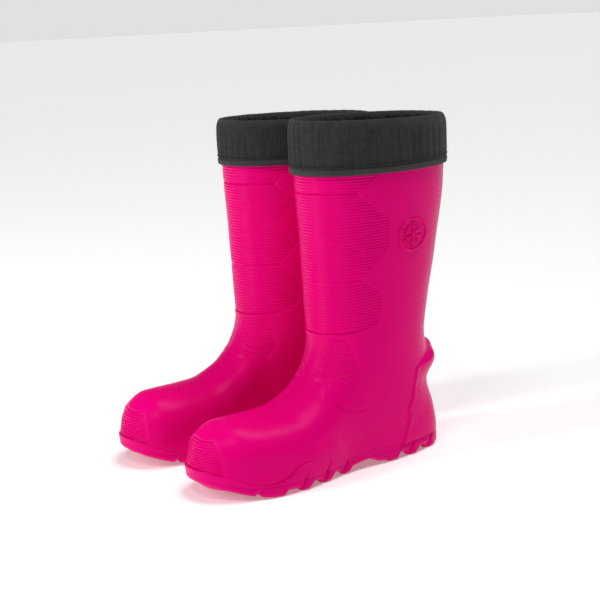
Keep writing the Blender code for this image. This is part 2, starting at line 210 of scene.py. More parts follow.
def smooth(points, x):
    """A curve through the points that never overshoots them."""
    p = np.array(points, float)
    xs, ys = p[:, 0], p[:, 1]
    h = np.diff(xs)
    slope = np.diff(ys) / h
    m = np.zeros_like(ys)
    for i in range(1, len(xs) - 1):
        if slope[i - 1] * slope[i] > 0:
            w1 = 2 * h[i] + h[i - 1]
            w2 = h[i] + 2 * h[i - 1]
            m[i] = (w1 + w2) / (w1 / slope[i - 1] + w2 / slope[i])
    m[0], m[-1] = slope[0], slope[-1]
    x = np.clip(x, xs[0], xs[-1])
    i = np.clip(np.searchsorted(xs, x, side="right") - 1, 0, len(h) - 1)
    t = (x - xs[i]) / h[i]
    return ((1 + 2 * t) * (1 - t) ** 2 * ys[i] + t * (1 - t) ** 2 * h[i] * m[i]
            + t * t * (3 - 2 * t) * ys[i + 1] + t * t * (t - 1) * h[i] * m[i + 1])


def line(points, x):
    p = np.array(points, float)
    return np.interp(x, p[:, 0], p[:, 1])


def step(low, high, x):
    """0 below low, 1 above high, smooth between."""
    t = np.clip((x - low) / (high - low), 0, 1)
    return t * t * (3 - 2 * t)


def bump(distance, width):
    return np.exp(-(distance / width) ** 2)


def half_width(points, y):
    squared = [(a, w * w) for a, w in points]
    return np.sqrt(np.maximum(smooth(squared, y), 0.25))


def boot_field(x, y, z):
    """Negative inside the boot's outer surface."""
    centre = smooth(CENTRE_LINE, y)
    top = smooth(TOP_LINE, y)
    mid = LOW_CENTRE + WIDEST * (top - LOW_CENTRE)
    across = np.where(x > centre, (x - centre) / half_width(OUTER_HALF, y),
                      (centre - x) / half_width(INNER_HALF, y))
    up = np.where(z > mid, (z - mid) / (top - mid), (mid - z) / UNDER_DEPTH)
    section = (np.abs(across) ** FOOT_POWER + np.abs(up) ** FOOT_POWER) ** (1 / FOOT_POWER) - 1
    past_end = np.maximum(np.maximum(TOE - y, y - HEEL), 0)
    foot = section * FOOT_STIFFNESS + past_end * END_STIFFNESS
    a, b = smooth(LEG_HALF_LENGTH, z), smooth(LEG_HALF_WIDTH, z)
    along = np.abs((y - smooth(LEG_CENTRE, z)) / a)
    leg = ((np.abs(x / b) ** LEG_POWER + along ** LEG_POWER) ** (1 / LEG_POWER) - 1) * b
    h = np.clip(0.5 + 0.5 * (foot - leg) / BLEND, 0, 1)
    return foot * (1 - h) + leg * h - BLEND * h * (1 - h)


def cast(s, t):
    """The outer surface seen from the spine at height s, in direction t (0 front, pi heel)."""
    s, t = np.broadcast_arrays(np.asarray(s, float), np.asarray(t, float))
    tilt = np.radians(smooth(ROW_TILT, s))
    spine_y = smooth(SPINE_Y, s)
    narrow = 0.45 + 0.45 * np.clip((s - 60) / 80, 0, 1)
    dx, ahead = np.sin(t) * narrow, np.cos(t)
    length = np.hypot(dx, ahead)
    dx, ahead = dx / length, ahead / length
    dy, dz = -ahead * np.cos(tilt), ahead * np.sin(tilt)
    near, far = np.zeros(s.shape), np.full(s.shape, REACH)
    for _ in range(HALVINGS):
        r = (near + far) / 2
        inside = boot_field(r * dx, spine_y + r * dy, s + r * dz) < 0
        near, far = np.where(inside, r, near), np.where(inside, far, r)
    return np.stack([near * dx, spine_y + near * dy, s + near * dz], -1)


def normals(s, t):
    across = cast(s, t + 0.01) - cast(s, t - 0.01)
    up = cast(s + 0.5, t) - cast(s - 0.5, t)
    normal = np.cross(across, up)
    return normal / np.linalg.norm(normal, axis=-1, keepdims=True)


def surface(s, t, out=0.0):
    """Points a distance out from the outer surface, along its normal."""
    s, t = np.broadcast_arrays(np.asarray(s, float), np.asarray(t, float))
    return cast(s, t) + normals(s, t) * np.asarray(out, float)[..., None]


def shell_columns():
    """Directions round the boot, closer together where the panels end."""
    fine = np.linspace(0, 2 * math.pi, 4001)
    weight = 1 + 1.7 * bump(fine - 1.12, 0.42) + 1.7 * bump(fine - (2 * math.pi - 1.12), 0.42)
    total = np.concatenate([[0], np.cumsum((weight[1:] + weight[:-1]) / 2)])
    return np.interp(np.linspace(0, total[-1], SHELL_COLUMNS, endpoint=False), total, fine)


def grid_faces(count, width, first=0, flip=False):
    """Quads between closed rings."""
    i, j = np.meshgrid(np.arange(count - 1), np.arange(width), indexing="ij")
    k = (j + 1) % width
    quads = np.stack([i * width + j, i * width + k, (i + 1) * width + k, (i + 1) * width + j], -1)
    quads = quads.reshape(-1, 4) + first
    return quads[:, ::-1] if flip else quads


def tube(rings, closed=False):
    """A body from rings of points. closed joins the last ring to the first."""
    rings = np.array(rings)
    if closed:
        count, width = rings.shape[:2]
        again = np.concatenate([rings, rings[:1]])
        faces = grid_faces(count + 1, width)
        faces = np.where(faces >= count * width, faces - count * width, faces)
        return again[:-1].reshape(-1, 3), faces
    count, width = rings.shape[:2]
    points = np.concatenate([rings.reshape(-1, 3), [rings[0].mean(0), rings[-1].mean(0)]])
    faces = grid_faces(count, width)
    j = np.arange(width)
    k = (j + 1) % width
    bottom, top, last = count * width, count * width + 1, (count - 1) * width
    lower = np.stack([np.full(width, bottom), k, j, j], -1)
    upper = np.stack([np.full(width, top), last + j, last + k, last + k], -1)
    return points, np.concatenate([faces, lower, upper])


def joined(bodies):
    points, faces, first = [], [], 0
    for p, f in bodies:
        points.append(p)
        faces.append(np.asarray(f) + first)
        first += len(p)
    return np.concatenate(points), np.concatenate(faces)


def spring(points):
    """Bends the toe up, most at the ground."""
    ahead = np.clip((SPRING_START - points[:, 1]) / (SPRING_START - TOE), 0, None)
    lift = SPRING * ahead ** 2 * np.clip(1 - points[:, 2] / SPRING_DEPTH, 0, 1)
    return points + np.stack([0 * lift, 0 * lift, lift], -1)


def slouch(points, side):
    """Each cuff is folded a little unevenly: the left stands higher in front, the right lower behind."""
    high = step(322, 348, points[:, 2])
    back = 0.5 + 0.5 * np.clip((points[:, 1] - CUFF_CENTRE_Y) / 88, -1, 1)
    rise = 4.2 * (1 - back) + 0.6 if side > 0 else -3.0 * back
    low = -1.2 * (1 - step(305, 322, points[:, 2])) if side > 0 else 0
    return points + np.stack([0 * high, 0 * high, rise * high + low], -1)


def origin(side_name, side):
    """The boot's own origin in the pair's frame, from its hem."""
    low, high = [np.array(v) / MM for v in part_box(side_name + "_cuff_hem")]
    middle = (low + high) / 2
    return np.array([middle[0] + side * math.sin(SPLAY) * CUFF_CENTRE_Y,
                     middle[1] - math.cos(SPLAY) * CUFF_CENTRE_Y, 0])


def add(name, body, mat, side_name, side, rides, stands_for=()):
    """One piece, mirrored for the right boot, in its place in the pair's frame."""
    points, faces = body
    points = spring(np.asarray(points, float))
    faces = np.asarray(faces)
    if name in SLOUCHING:
        points = slouch(points, side)
    turn = side * SPLAY
    x, y = points[:, 0] * side, points[:, 1]
    start = ORIGINS[side]
    world = np.stack([x * math.cos(turn) - y * math.sin(turn) + start[0],
                      x * math.sin(turn) + y * math.cos(turn) + start[1], points[:, 2]], -1) * MM
    if side < 0:
        faces = faces[:, ::-1]
    mesh = bpy.data.meshes.new("look_" + side_name + "_" + name)
    flat = [tuple(dict.fromkeys(face)) for face in faces.tolist()]
    mesh.from_pydata(world.tolist(), [], flat)
    mesh.validate()
    mesh.materials.append(mat)
    mesh.shade_smooth()
    mesh.set_sharp_from_angle(angle=math.radians(62))
    obj = bpy.data.objects.new("look_" + side_name + "_" + name, mesh)
    bpy.context.scene.collection.objects.link(obj)
    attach(obj, rides)
    if stands_for:
        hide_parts(*[side_name + "_" + node for node in stands_for])
    return obj


# ---------------------------------------------------------------- the moulded upper

def distance_to_line(points, path):
    """Distance from each point to a run of straight pieces, and how far along it is."""
    path = np.array(path, float)
    best = np.full(points.shape[:-1], 1e9)
    along = np.zeros(points.shape[:-1])
    for k in range(len(path) - 1):
        a, d = path[k], path[k + 1] - path[k]
        u = np.clip(((points - a) @ d) / (d @ d), 0, 1)
        gap = np.linalg.norm(points - (a + u[..., None] * d), axis=-1)
        along = np.where(gap < best, (k + u) / (len(path) - 1), along)
        best = np.minimum(best, gap)
    return best, along


def pinch(y, z):
    return HEEL_PINCH * bump(z - 72, 14) * step(90, 128, y)


def relief(points):
    """How far the moulded detail stands in or out of the plain surface."""
    x, y, z = points[..., 0], points[..., 1], points[..., 2]
    level = z - 0.1 * np.clip((281 - z) / 89, 0, 1) * (y - 20)
    inside = step(-0.7, 0.9, line(PANEL_EDGE, level) - y) * step(139.4, 140.4, level)
    waves = 0.5 + 0.5 * np.cos(2 * math.pi * (level - PANEL_GROOVES[0]) / RIB_PITCH)
    out = -inside * (RIB_FLOOR + RIB_DEPTH * waves ** RIB_SHARPNESS)
    for height in PANEL_GROOVES:
        out -= GROOVE_DEPTH * bump(level - height, GROOVE_WIDTH) * inside
    ankle = z + 0.3 * np.clip((125 - z) / 27, 0, 1) * (y - 10)
    side_on = step(3, 13, np.abs(x))
    edge = step(-0.7, 0.9, line(ANKLE_EDGE, ankle) - y)
    inside = edge * step(ANKLE_RIBS[0] - 0.5, ANKLE_RIBS[0] + 0.7, ankle)
    inside = inside * (1 - step(ANKLE_RIBS[1] - 0.6, ANKLE_RIBS[1] + 0.6, ankle)) * side_on
    waves = 0.5 + 0.5 * np.cos(2 * math.pi * ankle / ANKLE_PITCH)
    out -= inside * (ANKLE_FLOOR + ANKLE_DEPTH * waves ** RIB_SHARPNESS)
    gap, along = distance_to_line(np.stack([np.abs(x), y, z], -1), VAMP_LINE)
    fade = 1 - 0.75 * step(0.55, 1.0, along)
    out -= VAMP_DEPTH * bump(gap, VAMP_WIDTH) * fade
    below = z < 92 - 0.2 * (y + 10)
    out += 0.3 * bump(gap - 4.0, 3.5) * fade * below * (along < 0.8)
    sprung = spring(points.reshape(-1, 3)).reshape(points.shape)[..., 2]
    toe = step(-0.5, 0.7, TOE_PANEL_Y - y) * step(TOE_RIBS[0], TOE_RIBS[0] + 1.5, sprung)
    toe = toe * (1 - step(TOE_RIBS[1] - 2, TOE_RIBS[1], sprung))
    waves = 0.5 + 0.5 * np.cos(2 * math.pi * sprung / TOE_PITCH)
    out -= toe * (TOE_FLOOR + TOE_DEPTH * waves ** 1.2)
    rand = smooth(RAND_TOP, y)
    over = np.clip(z - rand, -10, 60)
    behind = step(85, 130, y)
    flush = (1 - step(0, 1, over / (15 + 32 * behind))) * step(-5, -2, over)
    out += (smooth(RAND_FLARE, y) - line(LEDGE, y)) * flush
    out -= pinch(y, z)
    soft = np.sin(y * 0.043 + 1.3) * np.sin(z * 0.051 + x * 0.037) + np.sin(y * 0.09 + z * 0.071)
    return out + 0.12 * soft * step(0, 40, y + 140)


def shell_part(rows, inner_rows):
    """The wall's outer face on the given rows, and its inner face on fewer."""
    t = SHELL_T[None, :]
    s = np.array(rows, float)[:, None]
    base = cast(s, t)
    around = np.roll(base, -1, 1) - np.roll(base, 1, 1)
    up = np.gradient(base, axis=0)
    normal = np.cross(around, up)
    normal /= np.linalg.norm(normal, axis=-1, keepdims=True)
    outer = base + normal * relief(base)[..., None]
    inner = surface(np.array(inner_rows, float)[:, None], t, -WALL)
    return outer, inner


def rows_between(stops):
    """Row heights from (height, spacing) pairs."""
    out = []
    for (a, gap), (b, _) in zip(stops, stops[1:]):
        out += list(np.linspace(a, b, max(2, int(round((b - a) / gap))), endpoint=False))
    return out + [stops[-1][0]]


def leg():
    """The shaft of the upper, with its rounded rim."""
    edge = RIM - RIM_ROUND
    rows = rows_between([(JOIN, FINE), (303, 2.0), (edge, 1.0)])
    outer, inner = shell_part(rows, [edge, *LEG_INNER_ROWS])
    top = [surface(np.full(SHELL_COLUMNS, edge), SHELL_T, out) for out in (-0.7, -2.2, -3.8)]
    top = [ring + [0, 0, lift] for ring, lift in zip(top, (1.2, 1.5, 1.2))]
    return tube([*outer, *top, *inner], closed=True)


def foot():
    """The foot of the upper, open upwards and closed below."""
    rows = rows_between([(SHELL_BOTTOM, 0.9), (24, FINE), (60, 1.0), (84, FINE), (JOIN, 1)])
    outer, inner = shell_part(rows, FOOT_INNER_ROWS)
    under = [outer[0].mean(0) + (outer[0] - outer[0].mean(0)) * part for part in (0.3, 0.62, 0.82)]
    inner_floor = inner[-1].copy()
    inner_floor[:, 2] = SHELL_FLOOR
    middle = inner_floor.mean(0)
    floor = [middle + (inner_floor - middle) * part for part in (1, 0.82, 0.62, 0.3)]
    return tube([*under, *outer, *inner, *floor])


def patch_body(outer, inner):
    """A body from two open grids of points, closed round their edge."""
    count, width = outer.shape[:2]
    points = np.concatenate([outer.reshape(-1, 3), inner.reshape(-1, 3)])
    shift = count * width
    i, j = np.meshgrid(np.arange(count - 1), np.arange(width - 1), indexing="ij")
    a, b = (i * width + j).ravel(), ((i + 1) * width + j).ravel()
    front = np.stack([a, a + 1, b + 1, b], -1)
    back = np.stack([shift + b, shift + b + 1, shift + a + 1, shift + a], -1)
    edge = [*range(width), *[k * width + width - 1 for k in range(1, count)]]
    edge += [(count - 1) * width + k for k in range(width - 2, -1, -1)]
    edge += [k * width for k in range(count - 2, 0, -1)]
    edge = np.array(edge)
    after = np.roll(edge, -1)
    sides = np.stack([after, edge, shift + edge, shift + after], -1)
    return points, np.concatenate([front, back, sides])


def heel_counter():
    """The raised heel panel with its rounded edge and the kick-off spur."""
    s = np.linspace(*COUNTER_ROWS, 150)[:, None]
    u = np.linspace(-1, 1, 121)[None, :]
    u = np.sign(u) * (1 - (1 - np.abs(u)) ** 1.35)
    t = math.pi + u * smooth(COUNTER_HALF_ANGLE, s)
    centre_out = smooth(COUNTER_OUT, s)
    rise = COUNTER_EDGE_OUT + (centre_out - COUNTER_EDGE_OUT) * np.cos(u * math.pi / 2) ** 1.15
    low_part = 1 - step(104, 126, s)
    rim = 0.5 * bump(np.abs(u) - 0.965, 0.02) * low_part
    slope = 0.035 + 0.75 * (1 - low_part)
    shoulder = step(0, 1, (1 - np.abs(u)) / slope) * step(0, 3.5, COUNTER_ROWS[1] - s)
    high = -0.4 + (rise + rim + 0.1) * shoulder
    s = s + 0 * u
    base = cast(s, t)
    high = high + relief(base)
    return patch_body(surface(s, t, high), surface(s, t, high - 0.5 - rise * shoulder))


# ---------------------------------------------------------------- the sole

def tread_height(x, y):
    """Height of the tread's face over the ground."""
    edge = line(GROUND_EDGE, y)
    centre_gap = np.zeros_like(y)
    bow = 7 * (1 - (x / 50) ** 2)
    for mid, wide in TREAD_GAPS:
        away = np.abs(y - mid - bow)
        centre_gap = np.maximum(centre_gap, GAP_DEPTH * (1 - step(wide - 1.6, wide, away)))
    split = SPLIT_DEPTH * (1 - step(2.0, 3.4, np.abs(x + 1))) * (1 - step(96, 100, np.abs(y - 4)))
    waist = WAIST_HEIGHT * step(10, 22, y) * (1 - step(44, 56, y))
    return np.maximum(np.maximum(edge * step(0, 1, np.abs(x) / 30), centre_gap), np.maximum(split, waist))


def outsole():
    """The tray: the tread's face, the lugs' sides, the rand and the bead along its top."""
    t = np.linspace(0, 2 * math.pi, SOLE_COLUMNS, endpoint=False)
    foot_ring = cast(12, t)
    y = foot_ring[:, 1]
    normal = normals(np.full(SOLE_COLUMNS, 12.0), t)
    normal[:, 2] = 0
    normal /= np.linalg.norm(normal, axis=-1, keepdims=True)
    flare, rand = smooth(SOLE_FLARE, y), smooth(RAND_TOP, y)
    lip, bead = smooth(RAND_FLARE, y), line(BEAD, y)
    rings = []
    ground = line(GROUND_EDGE, y)
    for v in np.linspace(0, 1, 30):
        z = ground + (SEAT - ground) * v
        out = flare - 2.0 * (1 - step(0, 3.2, z - ground)) - 0.25
        out = out - slot_depth(y, z)
        ring = foot_ring + normal * out[:, None]
        ring[:, 2] = z
        rings.append(ring)
    for v in np.linspace(0.04, 1, 34):
        s = SEAT + (rand - 0.9 - SEAT) * v
        out = flare - 0.25 + (lip + bead - flare + 0.25) * step(0.1, 1, v) - slot_depth(y, s)
        rings.append(surface(s, t, out))
    for lift, out in ((-0.4, -0.1), (-0.1, -0.45), (0.0, -0.9)):
        rings.append(surface(rand + lift, t, lip + bead + out))
    rings.append(surface(rand - 0.3, t, -0.3))
    bottom = rings[0]
    middle = np.array([-1.0, 0.0, 0.0])
    under = []
    for part in np.linspace(0.02, 0.985, 56):
        ring = middle + (bottom - middle) * part
        fade = step(0.93, 1.0, part)
        ring[:, 2] = tread_height(ring[:, 0], ring[:, 1]) * (1 - fade) + ground * fade
        under.append(ring)
    inside = foot_ring + normal * -0.4
    inside[:, 2] = SEAT + 0.8
    return tube([*under, *rings, inside])


def slot_depth(y, z):
    """The narrow cuts that run up the side of the sole."""
    depth = np.zeros_like(y)
    for start, top in SLOTS:
        across = y - start - SLOT_LEAN * z
        left = np.clip(1 - z / top, 0, 1)
        narrow = 0.9 + 1.9 * left
        depth = np.maximum(depth, SLOT_DEPTH * left ** 0.5 * bump(across, narrow) ** 0.8)
    return depth


# ---------------------------------------------------------------- the liner

def flat_rings(profile, t):
    """Level rings round the leg from (out, height) pairs."""
    rings = []
    for out, z in profile:
        ring = surface(np.full(len(t), float(z)), t, out)
        ring[:, 2] = z
        rings.append(ring)
    return np.array(rings)


def resampled(profile, count):
    """The profile's points spread evenly along it."""
    p = np.array(profile, float)
    length = np.concatenate([[0], np.cumsum(np.hypot(*np.diff(p, axis=0).T))])
    even = np.linspace(0, length[-1], count)
    return np.stack([smooth(np.stack([length, p[:, k]], -1), even) for k in (0, 1)], -1)


def cuff():
    """Rib knit folded out over the rim. The ribs wander and fade over the roll."""
    t = np.linspace(0, 2 * math.pi, CUFF_COLUMNS, endpoint=False)
    profile = resampled(CUFF_PROFILE, 78)
    coarse = np.linspace(0, 2 * math.pi, 192, endpoint=False)
    base = np.array([flat_rings([p], coarse)[0] for p in profile])
    wrap = np.concatenate([coarse, [2 * math.pi]])
    dense = np.empty((len(profile), CUFF_COLUMNS, 3))
    for k in range(3):
        closed = np.concatenate([base[..., k], base[:, :1, k]], 1)
        for i in range(len(profile)):
            dense[i, :, k] = np.interp(t, wrap, closed[i])
    around = np.roll(dense, -1, 1) - np.roll(dense, 1, 1)
    along = np.gradient(dense, axis=0)
    normal = np.cross(around, along)
    normal /= np.maximum(np.linalg.norm(normal, axis=-1, keepdims=True), 1e-9)
    v = np.linspace(0, 1, len(profile))[:, None]
    wander = sum(a * np.sin(n * t[None, :] + p + q * v * 3) for n, a, p, q in KNIT_WANDER)
    ribs = 0.5 + 0.5 * np.cos(KNIT_RIBS * t[None, :] + wander)
    strength = 0.6 + 0.4 * np.sin(5 * t + 1)[None, :] * np.sin(11 * t + 2)[None, :]
    strength = strength + 0.35 * np.sin(47 * t + 3 * v)
    on_side = step(304, 312, profile[:, 1])[:, None] * (v < 0.6)
    fade = 1 - 0.72 * step(0.3, 0.46, v)
    rows = 0.5 + 0.5 * np.sin(2 * math.pi * v * 62 + 2.0 * np.cos(KNIT_RIBS * t + wander))
    lift = on_side * fade * (-KNIT_DEPTH * (1 - ribs ** 0.7) * np.clip(strength, 0.25, 1.1)) + 0.07 * rows
    lump = 0.16 * np.sin(19 * t + 9 * v) * np.sin(31 * t - 14 * v) + RNG.normal(0, 0.045, lift.shape)
    return tube(dense + normal * (lift + lump - 0.15)[..., None], closed=True)


def hem():
    """The flat band round the cuff's lower edge."""
    t = np.linspace(0, 2 * math.pi, 720, endpoint=False)
    rings = flat_rings(HEM_PROFILE, t)
    rings[..., 2] += 0.12 * np.sin(37 * t) + 0.09 * np.sin(83 * t + 1)
    return tube(rings, closed=True)


def capsule(start, end, radius, sides=8):
    """A short rounded thread between two points."""
    axis = end - start
    axis = axis / np.linalg.norm(axis)
    side = np.cross(axis, [0, 0, 1.0])
    side /= np.linalg.norm(side)
    other = np.cross(axis, side)
    turn = np.linspace(0, 2 * math.pi, sides, endpoint=False)
    rings = []
    for along, part in ((-0.9, 0.35), (-0.55, 0.8), (0, 1.0), (1, 1.0), (1.55, 0.8), (1.9, 0.35)):
        centre = start + (end - start) * np.clip(along, 0, 1) + axis * radius * (along - np.clip(along, 0, 1))
        rings.append(centre + radius * part * (np.cos(turn)[:, None] * side + np.sin(turn)[:, None] * other))
    return tube(rings)


def stitching():
    """Short threads in a row just above the hem."""
    t = np.linspace(0, 2 * math.pi, STITCHES * 2, endpoint=False)
    ring = flat_rings([(STITCH_OUT, STITCH_HEIGHT)], t)[0]
    return joined([capsule(ring[k], ring[k + 1], STITCH_RADIUS) for k in range(0, len(ring) - 1, 2)])


def soft_wall(low, high, out, thick, count, rough, columns=192):
    """A soft tube that follows the inside of the shell."""
    t = np.linspace(0, 2 * math.pi, columns, endpoint=False)
    s = np.linspace(low, high, count)[:, None]
    outer = surface(s, t[None, :], -out)
    inner = surface(s[::-1], t[None, :], -out - thick)
    middle = (outer + inner[::-1]) / 2
    lip = middle[-1:] + [0, 0, thick * 0.32]
    foot_lip = middle[:1] - [0, 0, thick * 0.32]
    rings = np.concatenate([foot_lip, outer, lip, inner])
    noise = RNG.normal(0, rough, rings.shape[:2])
    noise = (noise + np.roll(noise, 1, 1) + np.roll(noise, -1, 1)) / 2
    direction = rings - rings.mean(1, keepdims=True)
    direction[..., 2] = 0
    direction /= np.linalg.norm(direction, axis=-1, keepdims=True)
    return tube(rings + direction * noise[..., None], closed=True)


def curls():
    """Small loops of pile standing on the inside of the lining."""
    loops = []
    t = RNG.uniform(0, 2 * math.pi, CURL_COUNT)
    s = RNG.uniform(*CURL_ROWS, CURL_COUNT)
    at = surface(s, t, -CURL_OUT)
    normal = normals(s, t)
    turn = np.linspace(0, 2 * math.pi, 10, endpoint=False)
    small = np.linspace(0, 2 * math.pi, 5, endpoint=False)
    for k in range(CURL_COUNT):
        a = RNG.normal(0, 1, 3)
        a -= 0.6 * normal[k] * (a @ normal[k])
        a /= np.linalg.norm(a)
        b = np.cross(a, RNG.normal(0, 1, 3))
        b /= np.linalg.norm(b)
        size = RNG.uniform(*CURL_SIZE)
        across = np.cross(a, b)
        rings = []
        for u in turn:
            outward = math.cos(u) * a + math.sin(u) * b
            ring = np.cos(small)[:, None] * outward + np.sin(small)[:, None] * across
            rings.append(at[k] + size * outward + CURL_THREAD * ring)
        loops.append(tube(rings, closed=True))
    return joined(loops)


def slab(low, high, rough):
    """A soft sole pad with rounded edges."""
    t = np.linspace(0, 2 * math.pi, 240, endpoint=False)
    edge = surface(np.full(240, float(low)), t, -SLAB_INSET)
    middle = edge.mean(0)
    rings = []
    profile = [(0.1, low), (0.4, low), (0.7, low), (0.9, low), (0.985, low), (1.0, (low + high) / 2)]
    profile += [(0.985, high)] + [(part, high) for part in np.linspace(0.95, 0.05, 34)]
    for part, z in profile:
        ring = middle + (edge - middle) * part
        ring[:, 2] = z + (RNG.normal(0, rough, 240) if z == high else 0)
        rings.append(ring)
    return tube(rings)


# ---------------------------------------------------------------- the emblem

def raised_strip(path, half, height):
    """A bar with sloping sides along a path of (row, angle) points on the leg."""
    path = np.array(path, float)
    ahead = np.gradient(path, axis=0)
    ahead[:, 1] *= LEG_RADIUS_AT_EMBLEM
    ahead /= np.linalg.norm(ahead, axis=-1, keepdims=True)
    across = np.stack([-ahead[:, 1], ahead[:, 0] / LEG_RADIUS_AT_EMBLEM], -1)
    rings = []
    for offset, out in STRIP_SECTION:
        place = path + across * (half * offset)
        rings.append(surface(place[:, 0], place[:, 1], np.full(len(place), height * out)))
    return np.array(rings)


def emblem():
    """The plain ring and the snowflake's six arms, each with two branches."""
    turn = np.linspace(0, 2 * math.pi, 145)
    radius = EMBLEM_RADIUS - 1.3
    ring = np.stack([EMBLEM_ROW + radius * np.sin(turn),
                     EMBLEM_ANGLE + radius * np.cos(turn) / LEG_RADIUS_AT_EMBLEM], -1)
    strips = raised_strip(ring, *EMBLEM_RING)[:, :-1]
    bodies = [tube(strips, closed=True)]
    for k in range(6):
        angle = k * math.pi / 3 + math.pi / 2
        (root, _), (reach, spread_out) = BRANCH
        lines = [((0.0, 0), (ARM_LENGTH, 0))]
        lines += [((root, 0), (reach, side * spread_out)) for side in (-1, 1)]
        for (r0, w0), (r1, w1) in lines:
            u = np.linspace(0, 1, 14)
            r, w = r0 + (r1 - r0) * u, w0 + (w1 - w0) * u
            up = r * math.sin(angle) + w * math.cos(angle)
            across = r * math.cos(angle) - w * math.sin(angle)
            path = np.stack([EMBLEM_ROW + up, EMBLEM_ANGLE + across / LEG_RADIUS_AT_EMBLEM], -1)
            bar = raised_strip(path, *EMBLEM_ARM)
            bodies.append(tube(np.swapaxes(bar, 0, 1)))
    return joined(bodies)


# ---------------------------------------------------------------- materials

def node_material(name):
    mat = bpy.data.materials.new(name)
    mat.use_nodes = True
    nodes, links = mat.node_tree.nodes, mat.node_tree.links
    return mat, nodes, links, nodes["Principled BSDF"]


def noise(nodes, links, where, scale, detail=3.0, rough=0.5):
    tex = nodes.new("ShaderNodeTexNoise")
    tex.inputs["Scale"].default_value = scale
    tex.inputs["Detail"].default_value = detail
    tex.inputs["Roughness"].default_value = rough
    links.new(where, tex.inputs["Vector"])
    return tex


def spread(nodes, links, value, low, high):
    node = nodes.new("ShaderNodeMapRange")
    node.inputs["From Min"].default_value = 0.3
    node.inputs["From Max"].default_value = 0.7
    node.inputs["To Min"].default_value = low
    node.inputs["To Max"].default_value = high
    links.new(value, node.inputs["Value"])
    return node.outputs["Result"]


def mixed(nodes, links, factor, first, second):
    node = nodes.new("ShaderNodeMix")
    node.data_type = "RGBA"
    node.inputs["A"].default_value = (*first, 1)
    node.inputs["B"].default_value = (*second, 1)
    links.new(factor, node.inputs["Factor"])
    return node.outputs["Result"]


def bumped(nodes, links, height, strength, distance, under=None):
    node = nodes.new("ShaderNodeBump")
    node.inputs["Strength"].default_value = strength
    node.inputs["Distance"].default_value = distance
    links.new(height, node.inputs["Height"])
    if under is not None:
        links.new(under, node.inputs["Normal"])
    return node.outputs["Normal"]


def foam(name, light, dark, roughness, grain):
    """Moulded EVA foam: satin, faintly mottled, with a fine skin."""
    mat, nodes, links, shader = node_material(name)
    where = nodes.new("ShaderNodeTexCoord").outputs["Object"]
    cloudy = noise(nodes, links, where, 22, 4)
    skin = noise(nodes, links, where, 1500, 2)
    pits = noise(nodes, links, where, 420, 3)
    links.new(mixed(nodes, links, cloudy.outputs["Fac"], light, dark), shader.inputs["Base Color"])
    links.new(spread(nodes, links, pits.outputs["Fac"], roughness - 0.05, roughness + 0.06),
              shader.inputs["Roughness"])
    first = bumped(nodes, links, pits.outputs["Fac"], grain, 0.0003)
    links.new(bumped(nodes, links, skin.outputs["Fac"], grain * 0.7, 0.0001, first), shader.inputs["Normal"])
    shader.inputs["Specular IOR Level"].default_value = 0.12
    shader.inputs["Specular Tint"].default_value = (1, 0.3, 0.7, 1)
    shader.inputs["IOR"].default_value = 1.38
    return mat


def cloth(name, light, dark, fuzz, coarse, fine):
    """Soft textile: a matt, slightly uneven ground with fibre-sized bumps."""
    mat, nodes, links, shader = node_material(name)
    where = nodes.new("ShaderNodeTexCoord").outputs["Object"]
    patchy = noise(nodes, links, where, coarse, 4, 0.6)
    fibre = noise(nodes, links, where, fine, 5, 0.7)
    blend_node = nodes.new("ShaderNodeMath")
    blend_node.operation = "MULTIPLY_ADD"
    blend_node.inputs[1].default_value = 0.6
    links.new(fibre.outputs["Fac"], blend_node.inputs[0])
    scaled = nodes.new("ShaderNodeMath")
    scaled.operation = "MULTIPLY"
    scaled.inputs[1].default_value = 0.4
    links.new(patchy.outputs["Fac"], scaled.inputs[0])
    links.new(scaled.outputs["Value"], blend_node.inputs[2])
    factor = spread(nodes, links, blend_node.outputs["Value"], 0, 1)
    links.new(mixed(nodes, links, factor, dark, light), shader.inputs["Base Color"])
    links.new(bumped(nodes, links, fibre.outputs["Fac"], 0.75, 0.0006), shader.inputs["Normal"])
    shader.inputs["Roughness"].default_value = 0.92
    shader.inputs["Specular IOR Level"].default_value = 0.18
    shader.inputs["Sheen Weight"].default_value = fuzz
    shader.inputs["Sheen Roughness"].default_value = 0.5
    shader.inputs["Sheen Tint"].default_value = (0.5, 0.5, 0.52, 1)
    return mat


# ---------------------------------------------------------------- build

ORIGINS = {side: origin(side_name, side) for side_name, side in SIDES}
SHELL_T = shell_columns()

pink = foam("moulded_foam_look", (0.82, 0.0006, 0.190), (0.77, 0.0005, 0.175), 0.29, 0.10)
sole_pink = foam("sole_foam_look", (0.80, 0.0006, 0.192), (0.74, 0.0005, 0.176), 0.37, 0.16)
knit = cloth("rib_knit_look", (0.046, 0.046, 0.047), (0.014, 0.014, 0.0145), 0.16, 160, 1300)
hem_cloth = cloth("hem_look", (0.058, 0.058, 0.059), (0.030, 0.030, 0.031), 0.14, 140, 1700)
felt = cloth("felt_look", (0.075, 0.075, 0.077), (0.036, 0.036, 0.037), 0.3, 90, 900)
fleece = cloth("fleece_look", (0.055, 0.055, 0.057), (0.014, 0.014, 0.015), 0.3, 300, 1100)
thread = cloth("thread_look", (0.03, 0.03, 0.031), (0.008, 0.008, 0.009), 0.1, 500, 2600)

